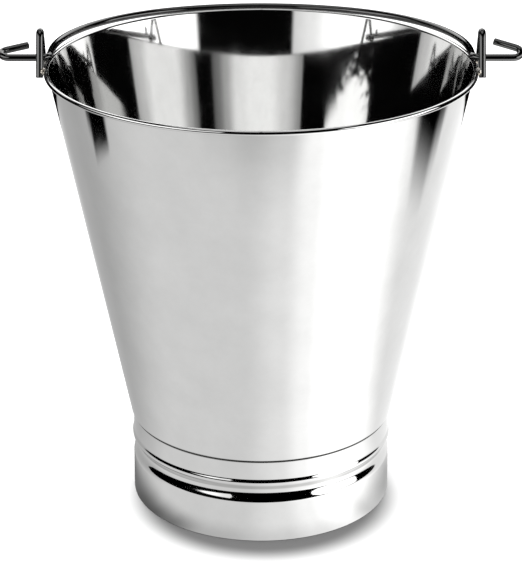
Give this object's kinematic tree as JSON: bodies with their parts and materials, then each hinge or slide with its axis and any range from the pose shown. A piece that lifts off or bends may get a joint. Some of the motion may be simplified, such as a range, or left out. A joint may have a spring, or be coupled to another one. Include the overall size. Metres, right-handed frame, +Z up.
{
  "type": "milk pail",
  "caption": "Conical seamless stainless steel pail with a wired rim, a swaged foot ring and a wire bail that swings in bent-wire ears.",
  "frame": {"origin": "centre of the foot ring, on the floor; the pail's own axis passes through it", "axes": "+Z up along the pail's axis; X through the two ears; the bail lies back towards +Y at rest"},
  "size_m": [0.365, 0.3047, 0.348],
  "materials": {
    "polished_steel": "mirror-polished stainless sheet with faint circumferential polishing lines",
    "wire_steel": "bright drawn stainless wire with faint lengthwise draw marks",
    "rim_wire_steel": "plain drawn wire, hidden inside the rolled rim",
    "weld_metal": "cleaned weld bead, slightly rippled and duller than the sheet"
  },
  "bodies": {
    "pail": {"body_shell": "polished_steel", "rim_wire": "rim_wire_steel", "foot_ring": "polished_steel", "foot_weld": "weld_metal", "ear_left": "wire_steel", "ear_right": "wire_steel", "ear_welds_left": "weld_metal", "ear_welds_right": "weld_metal"},
    "bail": {"bail": "wire_steel"}
  },
  "joints": [
    {"name": "bail_swing", "type": "hinge", "parent": "pail", "child": "bail", "pos_m": [0, 0, 0.3272], "axis": [1, 0, 0], "range_deg": [0, 182.9]}
  ]
}
